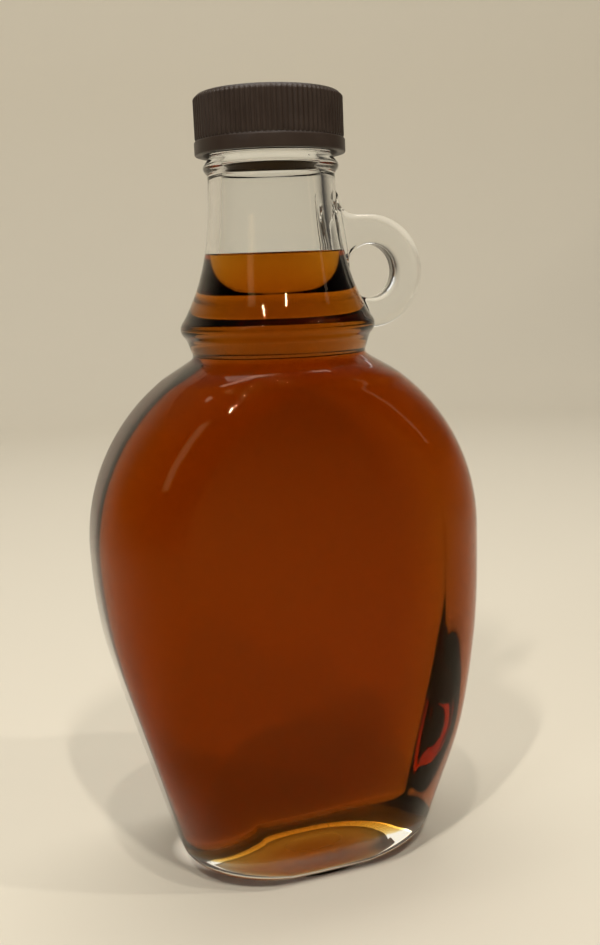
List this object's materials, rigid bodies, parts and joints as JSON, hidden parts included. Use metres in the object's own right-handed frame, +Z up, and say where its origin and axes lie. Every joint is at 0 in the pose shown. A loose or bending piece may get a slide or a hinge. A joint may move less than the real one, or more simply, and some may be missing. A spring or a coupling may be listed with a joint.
{
  "type": "maple syrup jug",
  "caption": "Clear glass syrup flask with flat front and back, round shoulders, a collared neck with a small ear handle, a fill of amber syrup and a ribbed screw cap.",
  "frame": {"origin": "centre of the base, on the surface the bottle stands on", "axes": "+Z up along the bottle's axis, +X towards the ear handle, -Y towards the front face"},
  "size_m": [0.0848, 0.0466, 0.164],
  "materials": {
    "clear_glass": "clear moulded glass, smooth and glossy",
    "syrup": "clear dark amber liquid, glossy",
    "cap_plastic": "dark brown moulded plastic with a soft sheen"
  },
  "bodies": {
    "root": {"bottle": "clear_glass", "syrup": "syrup", "cap": "cap_plastic"}
  },
  "joints": []
}
